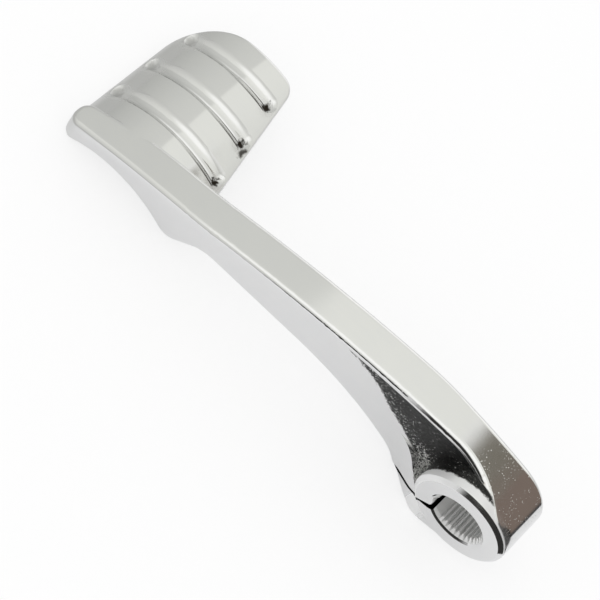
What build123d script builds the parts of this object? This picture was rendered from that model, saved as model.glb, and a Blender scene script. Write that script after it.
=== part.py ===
"""Kick start lever: one chromed casting with a serrated clamp hub, a cranked arm and an arched pedal.

Frame, in millimetres: the origin is the middle of the bore on the hub's engine-side face.
+X runs along the arm to the pedal, +Y is the bore's axis towards the engine, +Z is up as it lies on a bench.
"""
import os
from math import asin, atan, cos, degrees, radians, sin, sqrt, tan

from build123d import *

os.makedirs("parts", exist_ok=True)

# Hub: a round end on the arm, with a turned boss that stands proud of the cast face
hub_radius = 17.4
hub_length = 21.5
boss_radius = 17.2
boss_step = 0.4
boss_edge = 1.2

# Clamp: an ear under the hub, the slit that parts it from the arm and opens wider at the bore,
# and the pinch screw across the slit
ear_x = 8.5
ear_radius = 9.6
ear_blend = 6.0
slit_angle = 40.5
slit_width = 0.8
mouth_width = 2.1
mouth_reach = 11.5
mouth_taper = 3.0
screw_reach = 16.0
screw_radius = 3.0
screw_pitch = 1.0
screw_clearance = 0.3
screw_depth = 14.0
screw_head_radius = 5.3
screw_seat = 6.0

# Serrated bore, with plain recesses beside the slit in place of some teeth
tooth_count = 33
tooth_tip_radius = 8.5
tooth_root_radius = 9.7
gap_width = 1.1
gap_root_width = 0.35
plain_pitches = 6
bore_chamfer = 1.9

# Arm seen from the side: a crowned top and an underside that flares down to the clamp
crest_x = 22.0
crest_z = 18.6
tip_z = -10.5
arm_bottom_z = -6.2
flare_start_x = 73.0
flare_end_x = 25.5
flare_radius = 88.0
flare_corner = 3.0
rest_z = -21.0

# Arm seen from above: cranked towards the engine between the hub and the pedal
arm_end_x = 170.0
ramp_top_x = 13.5
ramp_foot_x = 25.5
ramp_foot_y = -8.3
front_bend_x = 118.0
front_y = -1.0
back_leave_x = 33.0
back_bend_x = 121.0
back_y = -13.6
tip_bend_x = 146.0
tip_back_y = -10.2
ramp_round = 15.0
bend_round = 150.0
tip_corner = 4.4
arm_edge = 2.0

# Scoop in the arm's engine side, round the boss and above the ramp
scoop_start_x = 19.0
scoop_end_x = -5.0
scoop_lip = 8.0
scoop_floor_x = 14.0
scoop_floor_z = -8.5
scoop_floor_slope = 18.0

# Arched underside of the arm at the pedal
foot_x = 124.0
foot_rise_x = 112.0
foot_round = 6.0
heel_round = 3.5
foot_blend = 10.0
arch_x = 144.0
arch_z = -12.2
arch_radius = 32.0

# Pedal: a vault across the arm, narrower and round-cornered at its free end
vault_x = 140.5
vault_top_z = -1.6
vault_radius = 34.0
pedal_thickness = 6.0
pedal_root_y = -8.0
pedal_end_y = -62.6
pedal_root_near_x = 119.0
pedal_end_near_x = 130.5
pedal_root_far_x = 169.6
pedal_end_far_x = 168.0
pedal_near_corner = 5.5
pedal_far_corner = 18.0
pedal_edge = 1.2

# Grip grooves round the vault
groove_count = 3
groove_first_y = -22.15
groove_pitch = 14.85
groove_radius = 3.7
groove_depth = 1.6
groove_land = 1.2

# How far the construction solids reach past the lever
margin = 10.0

# The ear reaches down to the bench, and the pinch screw crosses the slit midway through the arm
ear_z = rest_z + ear_radius
screw_x = screw_reach * cos(radians(slit_angle))
screw_y = (ramp_foot_y - hub_length) / 2
screw_z = -screw_reach * sin(radians(slit_angle))

# The arm's top rises on an arc that touches the hub's round end and is level at the crest
rise_radius = (crest_x**2 + crest_z**2 - hub_radius**2) / (2 * (crest_z - hub_radius))
touch_share = hub_radius / (rise_radius - hub_radius)
touch_x = -touch_share * crest_x
touch_z = touch_share * (rise_radius - crest_z)

# From the crest the top falls on an arc to the arm's end, and the profile runs on past it
tip_drop = crest_z - tip_z
top_radius = ((arm_end_x - crest_x) ** 2 + tip_drop**2) / (2 * tip_drop)
profile_end_x = arm_end_x + margin
profile_end_z = crest_z - top_radius + sqrt(top_radius**2 - (profile_end_x - crest_x) ** 2)

# The underside's flare ends on a small corner circle that it touches
flare_run = flare_start_x - flare_end_x
flare_rise = sqrt(flare_radius**2 - flare_run**2)
flare_end_z = arm_bottom_z - flare_radius + flare_rise
corner_x = flare_end_x - flare_corner * flare_run / flare_radius
corner_z = flare_end_z + flare_corner * flare_rise / flare_radius

# Where the arched underside meets the bench and the foot
arch_tip_x = arch_x + sqrt(arch_radius**2 - (arch_radius + rest_z - arch_z) ** 2)
foot_z = arch_z - arch_radius + sqrt(arch_radius**2 - (foot_x - arch_x) ** 2)

# The arm's straight engine side, and the pedal vault's axis
arm_slope = (front_y - ramp_foot_y) / (front_bend_x - ramp_foot_x)
vault_z = vault_top_z - vault_radius

# Grooves: the ball-ended cutter's middle, and half its width at the surface
groove_path_radius = vault_radius - groove_depth + groove_radius
groove_half_width = sqrt(groove_radius**2 - (groove_radius - groove_depth) ** 2)
groove_end_turn = (groove_land + groove_half_width) / vault_radius

# Teeth: the recess takes the place of a whole number of pitches, and leaves full teeth at its ends
pitch_angle = 360 / tooth_count
gap_count = tooth_count - plain_pitches
gap_turn = (gap_count - 1) * pitch_angle
recess_angle = (plain_pitches - 1) / 2 * pitch_angle + degrees(atan(gap_width / 2 / tooth_tip_radius))
wedge_x = 2 * tooth_root_radius
wedge_y = wedge_x * tan(radians(recess_angle))

# Room above and in front of the arm that the scoop clears
with BuildPart() as scoop:
    with BuildSketch(Plane.XY.offset(-hub_radius - margin)) as scoop_plan:
        with BuildLine():
            along = Line(
                (front_bend_x, front_y),
                (scoop_start_x, ramp_foot_y + arm_slope * (scoop_start_x - ramp_foot_x)),
            )
            cove = TangentArc(along @ 1, (scoop_end_x, -boss_step), tangent=along % 1)
            Polyline(
                cove @ 1,
                (-hub_radius - margin, -boss_step),
                (-hub_radius - margin, margin),
                (front_bend_x, margin),
                along @ 0,
            )
        make_face()
        fillet(scoop_plan.vertices().sort_by_distance((scoop_end_x, -boss_step))[0], scoop_lip)
    extrude(amount=2 * (hub_radius + margin))
    with BuildSketch(Plane.XZ.offset(-margin)):
        with BuildLine():
            Polyline(
                (-hub_radius - margin, scoop_floor_z),
                (scoop_floor_x, scoop_floor_z),
                (front_bend_x, scoop_floor_z + (front_bend_x - scoop_floor_x) * tan(radians(scoop_floor_slope))),
                (-hub_radius - margin, crest_z + margin),
                close=True,
            )
        make_face()
    extrude(amount=hub_length + margin, mode=Mode.INTERSECT)

# Pedal, with its root inside the arm
with BuildPart() as pedal:
    with BuildSketch(Plane.XZ.offset(-pedal_root_y)):
        with Locations((vault_x, vault_z)):
            Circle(vault_radius)
            Circle(vault_radius - pedal_thickness, mode=Mode.SUBTRACT)
        with Locations((vault_x, rest_z)):
            Rectangle(2 * vault_radius, vault_radius, align=(Align.CENTER, Align.MIN), mode=Mode.INTERSECT)
    extrude(amount=pedal_root_y - pedal_end_y)
    with BuildSketch(Plane.XY.offset(vault_z)) as pedal_plan:
        with BuildLine():
            Polyline(
                (pedal_root_near_x, pedal_root_y),
                (pedal_end_near_x, pedal_end_y),
                (pedal_end_far_x, pedal_end_y),
                (pedal_root_far_x, pedal_root_y),
                close=True,
            )
        make_face()
        fillet(pedal_plan.vertices().sort_by_distance((pedal_end_near_x, pedal_end_y))[0], pedal_near_corner)
        fillet(pedal_plan.vertices().sort_by_distance((pedal_end_far_x, pedal_end_y))[0], pedal_far_corner)
    extrude(amount=vault_radius + margin, mode=Mode.INTERSECT)
    fillet(pedal.faces().sort_by(Axis.Z)[-1].edges().sort_by(Axis.Y)[0], pedal_edge)
    for row in range(groove_count):
        groove_y = groove_first_y - row * groove_pitch
        share = (groove_y - pedal_root_y) / (pedal_end_y - pedal_root_y)
        near_x = pedal_root_near_x + share * (pedal_end_near_x - pedal_root_near_x)
        far_x = pedal_root_far_x + share * (pedal_end_far_x - pedal_root_far_x)
        past_corner = max(0, pedal_end_y + pedal_far_corner - groove_y)
        corner_cut = pedal_far_corner - sqrt(pedal_far_corner**2 - past_corner**2)
        start = asin((near_x - vault_x) / vault_radius) + groove_end_turn
        finish = asin((far_x - corner_cut - vault_x) / vault_radius) - groove_end_turn
        start_plane = Plane(
            (vault_x, groove_y, vault_z),
            x_dir=(sin(start), 0, cos(start)),
            z_dir=(-cos(start), 0, sin(start)),
        )
        with BuildSketch(start_plane):
            with Locations((groove_path_radius, 0)):
                Circle(groove_radius)
        revolve(
            axis=Axis((vault_x, 0, vault_z), (0, 1, 0)),
            revolution_arc=degrees(finish - start),
            mode=Mode.SUBTRACT,
        )
        for turn in (start, finish):
            end_x = vault_x + groove_path_radius * sin(turn)
            end_z = vault_z + groove_path_radius * cos(turn)
            with Locations((end_x, groove_y, end_z)):
                Sphere(groove_radius, mode=Mode.SUBTRACT)

with BuildPart() as lever:
    # Side view of hub, clamp and arm, cut to the view from above
    with BuildSketch(Plane.XZ.offset(-margin)) as side:
        with BuildLine():
            rise = RadiusArc((touch_x, touch_z), (crest_x, crest_z), rise_radius)
            fall = RadiusArc(rise @ 1, (profile_end_x, profile_end_z), top_radius)
            end = Line(fall @ 1, (profile_end_x, rest_z))
            heel = Line(end @ 1, (arch_tip_x, rest_z))
            arch = RadiusArc(heel @ 1, (foot_x, foot_z), -arch_radius)
            step = Line(arch @ 1, (foot_rise_x, arm_bottom_z))
            under = Line(step @ 1, (flare_start_x, arm_bottom_z))
            flare = RadiusArc(under @ 1, (flare_end_x, flare_end_z), -flare_radius)
            Polyline(flare @ 1, (corner_x, corner_z), (0, 0), rise @ 0)
        make_face()
        for lobe_x, lobe_z, lobe_radius in ((corner_x, corner_z, flare_corner), (ear_x, ear_z, ear_radius)):
            with BuildSketch(mode=Mode.PRIVATE) as lobe:
                Circle(hub_radius)
                with Locations((lobe_x, lobe_z)):
                    Circle(lobe_radius)
                make_hull()
            add(lobe.sketch)
        ear_side = (ear_x + ear_radius * cos(radians(50)), ear_z - ear_radius * sin(radians(50)))
        fillet(side.vertices().sort_by_distance(ear_side)[0], ear_blend)
        fillet(side.vertices().sort_by_distance((arch_tip_x, rest_z))[0], heel_round)
        fillet(side.vertices().sort_by_distance((foot_x, foot_z))[0], foot_round)
        fillet(side.vertices().sort_by_distance((foot_rise_x, arm_bottom_z))[0], foot_blend)
    extrude(amount=hub_length + 2 * margin)
    with BuildSketch(Plane.XY.offset(rest_z - margin)) as plan:
        with BuildLine():
            Polyline(
                (-hub_radius - margin, -boss_step),
                (ramp_top_x, -boss_step),
                (ramp_foot_x, ramp_foot_y),
                (front_bend_x, front_y),
                (arm_end_x, front_y),
                (arm_end_x, tip_back_y),
                (tip_bend_x, back_y),
                (back_bend_x, back_y),
                (back_leave_x, -hub_length),
                (-hub_radius - margin, -hub_length),
                close=True,
            )
        make_face()
        fillet(plan.vertices().sort_by_distance((ramp_top_x, -boss_step))[0], ramp_round)
        fillet(plan.vertices().sort_by_distance((ramp_foot_x, ramp_foot_y))[0], ramp_round)
        fillet(plan.vertices().sort_by_distance((front_bend_x, front_y))[0], bend_round)
        fillet(plan.vertices().sort_by_distance((tip_bend_x, back_y))[0], bend_round)
        fillet(plan.vertices().sort_by_distance((back_bend_x, back_y))[0], bend_round)
        fillet(plan.vertices().sort_by_distance((back_leave_x, -hub_length))[0], bend_round)
        fillet(plan.vertices().group_by(Axis.X)[-1], tip_corner)
    extrude(amount=crest_z - rest_z + 2 * margin, mode=Mode.INTERSECT)
    add(scoop.part, mode=Mode.SUBTRACT)

    # One smooth edge runs round the whole outline, so one stretch of it is enough to name it
    mid_x = (ramp_foot_x + front_bend_x) / 2
    fillet(lever.edges().sort_by_distance((mid_x, (ramp_foot_y + front_y) / 2, crest_z))[0], arm_edge)

    # Boss, turned with a chamfered rim
    with BuildSketch(Plane.XY):
        Polygon(
            (0, 0),
            (boss_radius - boss_edge, 0),
            (boss_radius, -boss_edge),
            (boss_radius, -hub_length / 2),
            (0, -hub_length / 2),
            align=None,
        )
    revolve(axis=Axis.Y)

    add(pedal.part)

    # Bore with its serrations, then the lead-in chamfer at each end
    with BuildSketch(Plane.XZ):
        Circle(tooth_tip_radius)
        with PolarLocations(0, gap_count, 180 - slit_angle - gap_turn / 2, gap_turn, endpoint=True):
            Polygon(
                (0, -gap_width / 2),
                (tooth_tip_radius, -gap_width / 2),
                (tooth_root_radius, -gap_root_width / 2),
                (tooth_root_radius, gap_root_width / 2),
                (tooth_tip_radius, gap_width / 2),
                (0, gap_width / 2),
                align=None,
            )
        with BuildSketch(mode=Mode.PRIVATE) as recess:
            Circle(tooth_root_radius)
            Polygon(
                (0, 0),
                (wedge_x, -wedge_y),
                (wedge_x, wedge_y),
                rotation=-slit_angle,
                align=None,
                mode=Mode.INTERSECT,
            )
        add(recess.sketch)
    extrude(amount=hub_length, mode=Mode.SUBTRACT)
    with BuildSketch(Plane.XY):
        for face_y, inward in ((0, -1), (-hub_length, 1)):
            Polygon(
                (0, face_y),
                (tooth_tip_radius + bore_chamfer, face_y),
                (tooth_tip_radius, face_y + inward * bore_chamfer),
                (0, face_y + inward * bore_chamfer),
                align=None,
            )
    revolve(axis=Axis.Y, mode=Mode.SUBTRACT)

    # Slit, from the bore out through the ear, with one straight side
    with BuildSketch(Plane.XZ):
        Polygon(
            (0, mouth_width / 2),
            (0, -mouth_width / 2),
            (mouth_reach, -mouth_width / 2),
            (mouth_reach + mouth_taper, mouth_width / 2 - slit_width),
            (2 * hub_radius, mouth_width / 2 - slit_width),
            (2 * hub_radius, mouth_width / 2),
            rotation=-slit_angle,
            align=None,
        )
    extrude(amount=hub_length, mode=Mode.SUBTRACT)

    # Pinch screw: tapped above the slit, clear below it, with a seat for the head
    screw_plane = Plane(
        (screw_x, screw_y, screw_z),
        x_dir=(0, 1, 0),
        z_dir=(sin(radians(slit_angle)), 0, cos(radians(slit_angle))),
    )
    with BuildSketch(screw_plane):
        Circle(screw_radius - screw_pitch / 2)
    extrude(amount=screw_depth, mode=Mode.SUBTRACT)
    with BuildSketch(screw_plane):
        Circle(screw_radius + screw_clearance)
    extrude(amount=-hub_radius, mode=Mode.SUBTRACT)
    with BuildSketch(screw_plane.offset(-screw_seat)):
        Circle(screw_head_radius)
    extrude(amount=-hub_radius, mode=Mode.SUBTRACT)

lever.part.label = "lever"
export_step(lever.part, "parts/lever.step")
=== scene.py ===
"""A kick start lever lying on a pale studio floor, seen from above its engine side.

Metres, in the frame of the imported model: the bore's axis is +Y and the arm runs along +X.
The lever's finish is placed in millimetres of the same frame.
"""
from math import cos, degrees, radians, sin

import bpy
import numpy as np
from mathutils import Matrix, Vector


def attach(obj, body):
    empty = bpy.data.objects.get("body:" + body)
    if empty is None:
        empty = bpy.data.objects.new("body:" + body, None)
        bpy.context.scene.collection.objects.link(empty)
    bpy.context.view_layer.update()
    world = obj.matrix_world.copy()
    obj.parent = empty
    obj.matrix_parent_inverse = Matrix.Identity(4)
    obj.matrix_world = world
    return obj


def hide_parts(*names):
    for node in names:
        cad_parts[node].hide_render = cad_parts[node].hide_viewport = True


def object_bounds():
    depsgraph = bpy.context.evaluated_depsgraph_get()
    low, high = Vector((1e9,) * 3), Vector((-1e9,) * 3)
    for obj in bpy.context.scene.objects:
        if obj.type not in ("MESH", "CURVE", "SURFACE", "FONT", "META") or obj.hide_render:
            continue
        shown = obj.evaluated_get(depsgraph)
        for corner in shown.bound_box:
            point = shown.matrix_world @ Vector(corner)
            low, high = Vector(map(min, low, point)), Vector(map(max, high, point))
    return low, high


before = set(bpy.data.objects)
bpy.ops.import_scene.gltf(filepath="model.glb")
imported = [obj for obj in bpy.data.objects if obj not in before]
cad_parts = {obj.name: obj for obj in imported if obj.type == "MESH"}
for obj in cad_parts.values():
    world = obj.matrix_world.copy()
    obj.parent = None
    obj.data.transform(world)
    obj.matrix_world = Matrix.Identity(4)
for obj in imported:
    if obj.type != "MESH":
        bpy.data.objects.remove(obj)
cad_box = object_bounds()


# Lever: one casting, polished and chromed all over, with hub, arm and pedal in one piece.
# The scoop round the boss can't be polished, so its plating stays rough and grainy; its black is painted
# shade, in the recess under the lip and at the foot of the boss.
# The hub's crown has the small pits that show where the casting was porous.
class Wire:
    """A shader socket that takes part in expressions: each operator adds one Math node to its tree."""

    def __init__(self, tree, socket=None):
        self.tree = tree
        self.socket = socket

    def node(self, kind, settings=None, links=None, output=0):
        """Adds a node, sets its settings, fills its inputs with values or wires, and returns one output."""
        made = self.tree.nodes.new(kind)
        for name, value in (settings or {}).items():
            if name == "stops":
                ramp = made.color_ramp
                while len(ramp.elements) < len(value):
                    ramp.elements.new(1.0)
                for element, (position, grey) in zip(ramp.elements, value):
                    element.position = position
                    element.color = (grey, grey, grey, 1.0)
            else:
                setattr(made, name, value)
        for name, value in (links or {}).items():
            if isinstance(value, Wire):
                self.tree.links.new(value.socket, made.inputs[name])
            else:
                made.inputs[name].default_value = value
        return Wire(self.tree, made.outputs[output] if made.outputs else None)

    def beside(self, output):
        """Another output of the node that this wire comes from."""
        return Wire(self.tree, self.socket.node.outputs[output])

    def math(self, operation, *others):
        """A Math node on this value and up to two others."""
        return self.node("ShaderNodeMath", {"operation": operation}, dict(enumerate((self,) + others)))

    def __add__(self, other):
        return self.math("ADD", other)

    __radd__ = __add__

    def __mul__(self, other):
        return self.math("MULTIPLY", other)

    __rmul__ = __mul__

    def __sub__(self, other):
        return self.math("SUBTRACT", other)

    def __rsub__(self, other):
        return self.node("ShaderNodeMath", {"operation": "SUBTRACT"}, {0: other, 1: self})

    def __truediv__(self, other):
        return self.math("DIVIDE", other)

    def most(self, *others):
        """The largest of this value and the others."""
        largest = self
        for other in others:
            largest = largest.math("MAXIMUM", other)
        return largest

    def above(self, level, blur):
        """Smooth step from 0 to 1 as the value passes the level, over twice the blur."""
        return self.node(
            "ShaderNodeMapRange",
            {"interpolation_type": "SMOOTHSTEP"},
            {"Value": self, "From Min": level - blur, "From Max": level + blur},
        )

    def below(self, level, blur):
        """Smooth step from 1 to 0 as the value passes the level, over twice the blur."""
        return 1.0 - self.above(level, blur)

    def blend(self, low, high):
        """Colour that goes from low to high as this mask goes from 0 to 1."""
        return self.node("ShaderNodeMix", {"data_type": "RGBA"}, {0: self, 6: low, 7: high}, output=2)


def new_finish(name):
    """An empty material, and a wire from which its nodes start."""
    material = bpy.data.materials.new(name)
    material.use_nodes = True
    material.node_tree.nodes.clear()
    return material, Wire(material.node_tree)


chrome, chrome_start = new_finish("bright_chrome")

# Place on the lever, in millimetres
place = chrome_start.node(
    "ShaderNodeVectorMath",
    {"operation": "SCALE"},
    {0: chrome_start.node("ShaderNodeTexCoord", output="Object"), "Scale": 1000.0},
)
x = place.node("ShaderNodeSeparateXYZ", links={0: place}, output="X")
y = x.beside("Y")
z = x.beside("Z")
from_axis = (x * x + z * z).math("SQRT")


def grain(size, detail=2.0, rough=0.5):
    """Noise from 0 to 1 with lumps of about this size in millimetres."""
    return place.node(
        "ShaderNodeTexNoise",
        links={"Vector": place, "Scale": 1.0 / size, "Detail": detail, "Roughness": rough},
    )


# Scoop: painted shade from under the lip of the arm's top down to a ragged edge that climbs along the arm
crest_x, crest_z, top_radius, crown_radius = 22.0, 18.6, 391.0, 500.0
past_crest = x - crest_x
before_crest = past_crest.math("MINIMUM", 0.0)
crown_drop = before_crest * before_crest / (2.0 * crown_radius)
arm_top = crest_z - past_crest * past_crest / (2.0 * top_radius) - crown_drop
edge_from, edge_to, edge_low, edge_high = 10.0, 70.0, -9.0, 16.0
ragged_edge = (
    (10.0, -9.0), (14.0, -8.8), (20.0, -6.9), (26.4, -3.2), (32.5, 1.1), (38.5, 4.5),
    (44.5, 9.3), (50.5, 12.3), (56.6, 14.0), (62.0, 14.6), (68.0, 15.3),
)
edge_stops = [
    ((edge_x - edge_from) / (edge_to - edge_from), (edge_z - edge_low) / (edge_high - edge_low))
    for edge_x, edge_z in ragged_edge
]
edge_share = x.node(
    "ShaderNodeValToRGB", {"stops": edge_stops}, {"Fac": (x - edge_from) / (edge_to - edge_from)}
)
scoop_floor = edge_share * (edge_high - edge_low) + edge_low
lip_height, scoop_depth = 2.5, 10.5
ragged = (grain(0.9, 4.0, 0.7) - 0.5) * 5.0 * x.above(30.0, 8.0)
under_lip = (arm_top - lip_height - z).above(0.0, 0.35)
over_floor = (z - scoop_floor + ragged).above(0.0, 0.5)
engine_side = y.above(-scoop_depth, 0.5)
boss_radius, boss_flat_radius, boss_bright_depth = 17.2, 15.6, 3.2
on_boss = from_axis.below(boss_radius + 0.12, 0.1)
boss_mottle = (grain(1.3, 4.0, 0.7) - 0.5) * 2.0
# Painted shadow line: the boss's outer wall deeper than boss_bright_depth goes dark with the scoop
boss_side = (y + boss_bright_depth + z * 0.06 + boss_mottle).above(0.0, 0.35)
towards_arm = x.above(-4.0, 1.0) * z.above(-9.5, 0.3)
scoop = under_lip * over_floor * engine_side * (1.0 - on_boss) + on_boss * (1.0 - boss_side)
scoop = scoop * engine_side * from_axis.above(boss_radius - 0.3, 0.1) * towards_arm

# Flecks of bright plating in the scoop, thickest low down and beside the boss
low_down = (z - scoop_floor).below(6.0, 5.0)
beside_boss = from_axis.below(23.0, 4.0)
fleck_share = low_down * 0.06 + beside_boss * low_down * 0.12
flecks = (grain(0.75, 3.0, 0.85) - 0.66 + fleck_share).above(0.0, 0.03)
# Mottle in the scoop's painted shade, between black and a lighter grey
shade_mottle = grain(0.7, 4.0, 0.8).above(0.5, 0.2)

# Slit: its walls are painted dark as the shade in that narrow gap. It is wider next to the bore
slit_angle, slit_half, slit_width = radians(40.5), 1.05, 0.8
mouth_reach, mouth_taper, wall_depth = 11.5, 3.0, 0.06
tooth_root_radius = 9.7
across_slit = x * sin(slit_angle) + z * cos(slit_angle)
along_slit = x * cos(slit_angle) - z * sin(slit_angle)
narrowing = ((along_slit - mouth_reach) / mouth_taper).math("MAXIMUM", 0.0).math("MINIMUM", 1.0)
lower_wall = narrowing * (2.0 * slit_half - slit_width) - slit_half
boss_lip = from_axis.above(boss_flat_radius, 0.3) * from_axis.below(boss_radius + 0.6, 0.3) * 0.3
# The painted shade in the slit reaches further across next to the bore
shade_near_bore = from_axis.below(tooth_root_radius + 0.2, 0.1) * 0.45
over_lower_wall = (across_slit - lower_wall + boss_lip).above(-wall_depth - 0.1, 0.03)
under_upper_wall = (across_slit - shade_near_bore).below(slit_half + wall_depth, 0.02)
slit = over_lower_wall * under_upper_wall * along_slit.above(8.0, 0.5)

# Pits on the hub's crown, in clusters
on_crown = x.below(9.0, 3.0) * z.above(8.0, 2.0) * y.below(-4.0, 1.0)
on_crown = on_crown * from_axis.above(boss_radius + 0.1, 0.05)
clusters = grain(6.0).above(0.5, 0.05)
pits = grain(0.5, 0.0).above(0.75, 0.02) * clusters * on_crown


def from_spot(spot_x, spot_y, y_share=1.0):
    """Distance in plan from a spot on the pedal: the root of dx squared plus y_share times dy squared."""
    off_x = x - spot_x
    off_y = y - spot_y
    return (off_x * off_x + off_y * off_y * y_share).math("SQRT")


# Grip grooves: polishing soot in their hub-side ends, and two thin painted dark reflections along the edge
# from there. Both ends are softer
first_groove_y, groove_pitch = -22.15, 14.85
first_groove_x, groove_step = 124.8, 3.5
far_ends = (165.4, 165.0, 162.8)
inner_lines = (1.9, 1.6, 1.2)
rim_line, line_half, line_length, line_fade = 3.25, 0.2, 11.0, 8.0
smear = grain(1.2, 3.0) - 0.5
soot_and_reflection_marks = []
dull_marks = []
soft_ends = []
for number, (far_end, inner_line) in enumerate(zip(far_ends, inner_lines)):
    middle_y = first_groove_y - number * groove_pitch
    hub_end = first_groove_x + number * groove_step
    blot = hub_end + 0.4, middle_y + 1.4
    soot_and_reflection_marks.append((from_spot(*blot, y_share=0.45) + smear * 4.0).below(1.2, 0.7))
    run = x.above(hub_end, 0.6) * x.below(hub_end + line_length, line_fade)
    # Two thin lines along each groove's edge: painted dark reflections, in the soot's colour
    for line in (inner_line, rim_line):
        reflection_line = (y - (middle_y + line)).math("ABSOLUTE").below(line_half, 0.1)
        soot_and_reflection_marks.append(reflection_line * run * 0.9)
    run_out = far_end + 1.2, middle_y + 0.6
    dull_marks.append((from_spot(*run_out, y_share=0.5) + smear * 3.0).below(1.6, 0.9) * 0.25)
    soft_ends.append(from_spot(*blot).below(3.0, 1.5))
    soft_ends.append(from_spot(*run_out).below(4.0, 2.0))

# A stain on the pedal's edge, beside the middle groove
stain_x, stain_y = 126.3, -34.2
stain = (from_spot(stain_x, stain_y, y_share=0.2) + smear * 2.0).below(0.8, 0.5) * 0.9
on_top = z.above(-9.5, 1.0)
# Soot, the stain and the painted dark reflection lines on the pedal's top, with the dull marks
residue_and_painted_reflection = (stain.most(*soot_and_reflection_marks) * on_top).most(*dull_marks)
rubbed = soft_ends[0].most(*soft_ends[1:])

# Plating: a faint haze, polishing marks along the arm, a machined bore and a soft sheen on the boss
haze = grain(9.0, 3.0)
drawn_out = place.node("ShaderNodeVectorMath", {"operation": "MULTIPLY"}, {0: place, 1: (0.04, 0.8, 0.8)})
polish = drawn_out.node("ShaderNodeTexNoise", links={"Vector": drawn_out, "Scale": 1.0, "Detail": 3.0})
lead_in_depth, chamfer_depth = 2.0, 1.4
tooth_ends = from_axis.below(tooth_root_radius + 0.02, 0.04) * y.above(0.03 - lead_in_depth, 0.03)
bore = from_axis.below(tooth_root_radius + 0.05, 0.05) * (1.0 - tooth_ends)
rim = from_axis.above(boss_flat_radius, 0.1) * y.above(-chamfer_depth, 0.1)
rim = rim * x.above(7.0, 3.0) * x.below(17.5, 0.5)
under_chamfer = y.below(0.15 - chamfer_depth, 0.08)
boss_wall = on_boss * from_axis.above(boss_radius - 0.25, 0.1) * boss_side * under_chamfer
soft_sheen = rim.most(boss_wall)

# Colours and surface
bright = (0.81, 0.81, 0.80, 1.0)
cool = (0.76, 0.765, 0.77, 1.0)
machined = (0.62, 0.62, 0.61, 1.0)
speck = (0.80, 0.77, 0.71, 1.0)
# The scoop's painted shade: black, mottled with a lighter grey
black = (0.015, 0.015, 0.015, 1.0)
lighter_shade_grey = (0.07, 0.07, 0.068, 1.0)
fleck_grey = (0.85, 0.85, 0.83, 1.0)
# Painted shade in the slit
slit_shade = (0.045, 0.045, 0.048, 1.0)
# Soot, and the dark of the painted reflection lines along the grooves
soot_and_reflection_dark = (0.035, 0.029, 0.022, 1.0)
plating = (haze * 0.6 + polish * 0.4 - 0.2).blend(bright, cool)
plated = pits.blend(tooth_ends.blend(bore.blend(plating, machined), bright), speck)
# The scoop's tone: painted shade over rough plating, with flecks of bright plating
rough_plating_in_shade = flecks.blend(shade_mottle.blend(black, lighter_shade_grey), fleck_grey)
tone = residue_and_painted_reflection.blend(slit.blend(scoop.blend(plated, rough_plating_in_shade), slit_shade), soot_and_reflection_dark)
relief = scoop * grain(0.5, 3.0, 0.7) * 0.9 - pits * 0.6 + polish * 0.01
surface = tone.node(
    "ShaderNodeBsdfPrincipled",
    links={
        "Base Color": tone,
        "Metallic": 1.0 - bore * 0.7 - tooth_ends * 0.8 - soft_sheen * 0.7 - scoop * flecks * 0.4,
        "Roughness": (
            0.07 + haze * 0.05 + scoop * 0.38 + pits * 0.4 + residue_and_painted_reflection * 0.3
            + bore * 0.35 + tooth_ends * 0.25 + soft_sheen * 0.25 + rubbed * 0.3
        ),
        "Normal": relief.node(
            "ShaderNodeBump", links={"Height": relief, "Strength": 0.6, "Distance": 0.0003}
        ),
    },
)
surface.node("ShaderNodeOutputMaterial", links={"Surface": surface})


def merged(node, name, closeness=5e-6, sharp_angle=30.0):
    """The node's own triangles, where points closer than this become one, so that shading runs on."""
    source = node.data
    points = np.empty((len(source.vertices), 3), np.float32)
    source.vertices.foreach_get("co", points.ravel())
    corners = np.empty(len(source.loops), np.int32)
    source.loops.foreach_get("vertex_index", corners)
    cells = np.round(points / closeness).astype(np.int64)
    _, first, shared = np.unique(cells, axis=0, return_index=True, return_inverse=True)
    faces = shared.ravel()[corners].reshape(-1, 3)
    whole = (faces != np.roll(faces, 1, axis=1)).all(axis=1)
    mesh = bpy.data.meshes.new(name)
    mesh.from_pydata(points[first].tolist(), [], faces[whole].tolist())
    mesh.shade_smooth()
    mesh.set_sharp_from_angle(angle=radians(sharp_angle))
    return mesh


def placed(name, data):
    """A new object in the scene that shows this mesh or camera."""
    made = bpy.data.objects.new(name, data)
    bpy.context.scene.collection.objects.link(made)
    return made


lever = placed("plated_lever", merged(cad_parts["lever"], "plated_lever"))
lever.data.materials.append(chrome)
even = lever.modifiers.new("even_shading", "WEIGHTED_NORMAL")
even.mode = "FACE_AREA"
even.keep_sharp = True
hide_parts("lever")
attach(lever, "root")


# Floor: a pale sheet of paper that the lever lies on, wide enough to fill every view.
# It is lit to white and keeps the lever's soft shadow.
# The metal mirrors it pale near the lever, and greyer past the pedal and far off.
def grid(name, rows, columns, point):
    """A mesh on a grid, where point(s, t) gives x, y and z in metres for s and t from 0 to 1."""
    s, t = np.meshgrid(np.linspace(0.0, 1.0, columns), np.linspace(0.0, 1.0, rows))
    points = np.stack(np.broadcast_arrays(*point(s, t)), -1).reshape(-1, 3)
    corner = (np.arange(rows - 1)[:, None] * columns + np.arange(columns - 1)).ravel()
    faces = np.stack([corner, corner + 1, corner + columns + 1, corner + columns], -1)
    mesh = bpy.data.meshes.new(name)
    mesh.from_pydata(points.tolist(), [], faces.tolist())
    return mesh


floor_z, floor_half = cad_box[0][2], 3.0
pedal_end = cad_box[1][0]


def level_sheet(s, t):
    """A level square about the origin: x grows with s and y with t, from minus to plus half its width."""
    return floor_half * (2.0 * s - 1.0), floor_half * (2.0 * t - 1.0), floor_z


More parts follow.
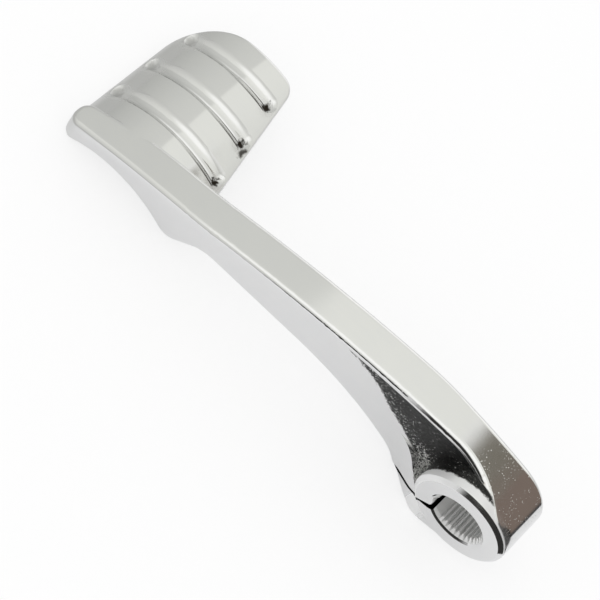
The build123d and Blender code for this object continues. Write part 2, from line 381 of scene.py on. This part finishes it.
floor = placed("floor", grid("floor", 9, 9, level_sheet))
paper, paper_start = new_finish("pale_paper")
spot = paper_start.node("ShaderNodeTexCoord", output="Object")
fibre = spot.node("ShaderNodeTexNoise", links={"Vector": spot, "Scale": 300.0, "Detail": 2.0})
under_arm = (0.08, 0.0, floor_z)
off_lever = spot.node(
    "ShaderNodeVectorMath", {"operation": "DISTANCE"}, {0: spot, 1: under_arm}, output="Value"
)
past_pedal = spot.node("ShaderNodeSeparateXYZ", links={0: spot}, output="X").above(pedal_end + 0.004, 0.014)
pale_mirrored, grey_mirrored = (0.95, 0.95, 0.96, 1.0), (0.54, 0.542, 0.525, 1.0)
in_metal = off_lever.above(0.22, 0.16).most(past_pedal).blend(pale_mirrored, grey_mirrored)
looked_at = spot.node("ShaderNodeLightPath", output="Is Camera Ray")
mirrored = looked_at.beside("Is Glossy Ray")
sheet_white = fibre.blend((0.97, 0.97, 0.97, 1.0), (0.99, 0.99, 0.99, 1.0))
matt = spot.node(
    "ShaderNodeBsdfPrincipled",
    links={
        "Base Color": mirrored.blend(sheet_white, in_metal),
        "Roughness": 0.9,
        "Specular IOR Level": 0.0,
    },
)
lit_tone = mirrored.blend((1.0, 1.0, 1.0, 1.0), in_metal)
lit = spot.node("ShaderNodeEmission", links={"Color": lit_tone, "Strength": 1.0})
lit_share = looked_at * 0.72 + mirrored * 0.2
pale = matt.node("ShaderNodeMixShader", links={0: lit_share, 1: matt, 2: lit})
pale.node("ShaderNodeOutputMaterial", links={"Surface": pale})
floor.data.materials.append(paper)


# Cards: a brown one that leans away behind the hub, a black one bent round its engine side, and a
# low black strip beside the arm. They show their own colour and only give the metal something to
# mirror, so the camera and the floor don't see them.
def card(name, rows, columns, point, material):
    """An object on the grid of point(s, t), in one material, that only reflections see."""
    made = placed(name, grid(name, rows, columns, point))
    made.data.materials.append(material)
    made.visible_camera = False
    made.visible_diffuse = False
    made.visible_shadow = False


def self_lit(tone):
    """Ends a material with a surface that shows this colour by its own light."""
    glowing = tone.node("ShaderNodeEmission", links={"Color": tone, "Strength": 1.0})
    glowing.node("ShaderNodeOutputMaterial", links={"Surface": glowing})


brown_x, brown_y, brown_foot, brown_rise, brown_width = -0.055, -0.030, -0.008, 0.60, 0.06
lean, bow = 0.42, 0.10


def leaning_strip(s, t):
    """Strip at one x: z rises with t, and y = a parabola in z that leans back, plus the width times s."""
    rise = brown_foot + brown_rise * t
    return brown_x, brown_y - lean * rise - bow * rise**2 + brown_width * (s - 0.5), rise


brown, brown_start = new_finish("brown_card")
brown_place = brown_start.node("ShaderNodeTexCoord", output="Object")
up_card = brown_place.node("ShaderNodeSeparateXYZ", links={0: brown_place}, output="Z")
foot_black, warm, olive = (0.05, 0.052, 0.055, 1.0), (0.21, 0.165, 0.14, 1.0), (0.20, 0.185, 0.155, 1.0)
cloth_white = (0.92, 0.92, 0.90, 1.0)
lower_card = up_card.above(0.0, 0.006).blend(foot_black, warm)
upper_card = up_card.above(0.18, 0.08).blend(lower_card, olive)
self_lit(up_card.above(0.42, 0.10).blend(upper_card, cloth_white))
card("brown_card", 25, 5, leaning_strip, brown)

screen_radius, screen_height, screen_gap = 0.042, 0.060, 0.001
screen_from, screen_sweep = 36.0, 169.0


def bent_screen(s, t):
    """Part of an upright cylinder about the origin: s runs through its sweep, and z rises with t."""
    turn = np.radians(screen_from + screen_sweep * s)
    upright_z = floor_z + screen_gap + screen_height * t
    return screen_radius * np.cos(turn), screen_radius * np.sin(turn), upright_z


felt, felt_start = new_finish("black_felt")
felt_place = felt_start.node("ShaderNodeTexCoord", output="Object")
nap = felt_place.node("ShaderNodeTexNoise", links={"Vector": felt_place, "Scale": 60.0, "Detail": 2.0})
to_arm = felt_place.node("ShaderNodeSeparateXYZ", links={0: felt_place}, output="X").above(0.027, 0.007)
felt_black = nap.blend((0.025, 0.025, 0.025, 1.0), (0.045, 0.043, 0.04, 1.0))
self_lit(to_arm.blend(felt_black, (0.75, 0.75, 0.75, 1.0)))
card("black_card", 9, 33, bent_screen, felt)

low_from, low_length, low_y = 0.008, 0.106, 0.045
low_foot, foot_drop, low_height, height_loss = 0.003, 0.002, 0.032, 0.019


def low_strip(s, t):
    """Strip at one y: x runs with s, z rises with t, and the strip narrows towards the pedal."""
    foot = low_foot - foot_drop * s**2
    return low_from + low_length * s, low_y, foot + (low_height - height_loss * s) * t


arm_felt, arm_start = new_finish("arm_felt")
arm_place = arm_start.node("ShaderNodeTexCoord", output="Object")
to_pedal = arm_place.node("ShaderNodeSeparateXYZ", links={0: arm_place}, output="X").above(0.090, 0.018)
self_lit(to_pedal.blend((0.03, 0.03, 0.03, 1.0), (0.6, 0.6, 0.6, 1.0)))
card("arm_card", 5, 17, low_strip, arm_felt)


# Studio: a white cloth tent all round, paler towards its top and dimmer on the far side, past the pedal.
# Two lamps glow through it, and its corner beyond the hub is dark. The metal mirrors all of this,
# while the camera and the floor get an even white.
scene = bpy.context.scene
scene.view_settings.view_transform = "Standard"
tent = bpy.data.worlds.new("studio_tent")
tent.use_nodes = True
tent.node_tree.nodes.clear()
scene.world = tent
sky = Wire(tent.node_tree)
direction = sky.node("ShaderNodeTexCoord", output="Generated")


def facing(azimuth, elevation, edge, blur):
    """Mask of the part of the tent within an angle of a direction, in degrees, with a soft edge."""
    turn, rise = radians(azimuth), radians(elevation)
    towards = (cos(rise) * cos(turn), cos(rise) * sin(turn), sin(rise))
    near = direction.node(
        "ShaderNodeVectorMath", {"operation": "DOT_PRODUCT"}, {0: direction, 1: towards}, output="Value"
    )
    return (near.math("ARCCOSINE") * degrees(1.0)).below(edge, blur)


toward_x = direction.node("ShaderNodeSeparateXYZ", links={0: direction}, output="X")
toward_y = toward_x.beside("Y")
height = toward_x.beside("Z").math("MAXIMUM", 0.0)
cloth = height.blend((0.62, 0.622, 0.60, 1.0), (0.94, 0.945, 0.90, 1.0))
dim_cloth = height.blend((0.52, 0.525, 0.505, 1.0), (0.78, 0.785, 0.75, 1.0))
far_side = toward_x.above(0.24, 0.02) * toward_y.below(0.0, 0.1)
lamp_white, corner_black = (1.15, 1.15, 1.13, 1.0), (0.05, 0.048, 0.045, 1.0)
high_lamp = facing(90, 58, 24, 12)
low_lamp = facing(270, 12, 26, 14)
dark_corner = facing(165, 12, 26, 14)
lamp_lit = high_lamp.most(low_lamp).blend(far_side.blend(cloth, dim_cloth), lamp_white)
tent_in_metal = dark_corner.blend(lamp_lit, corner_black)
seen_in_metal = sky.node("ShaderNodeLightPath", output="Is Glossy Ray")
tent_tone = seen_in_metal.blend((1.0, 1.0, 1.0, 1.0), tent_in_metal)
glow = sky.node("ShaderNodeBackground", links={"Color": tent_tone, "Strength": 1.0})
glow.node("ShaderNodeOutputWorld", links={"Surface": glow})

# Camera: above the engine side and turned, so that the lever lies from corner to corner of the picture.
# It stands back from the bore's middle, which it keeps at one place in the picture.
elevation, roll = radians(63.3), radians(47.3)
distance, focal_px, picture_px = 0.723, 2400.0, 600
bore_px = (456.0, 520.9)
back = Vector((0.0, cos(elevation), sin(elevation)))
level = Vector((-1.0, 0.0, 0.0))
upright = back.cross(level)
right = cos(roll) * level + sin(roll) * upright
up = cos(roll) * upright - sin(roll) * level
half_px = picture_px / 2
stand = back - (bore_px[0] - half_px) / focal_px * right + (bore_px[1] - half_px) / focal_px * up
eye = bpy.data.cameras.new("camera")
eye.sensor_width = 36.0
eye.lens = focal_px / picture_px * eye.sensor_width
eye.clip_start = 0.01
camera = placed("camera", eye)
camera.matrix_world = Matrix.Translation(stand * distance) @ Matrix((right, up, back)).transposed().to_4x4()
scene.camera = camera
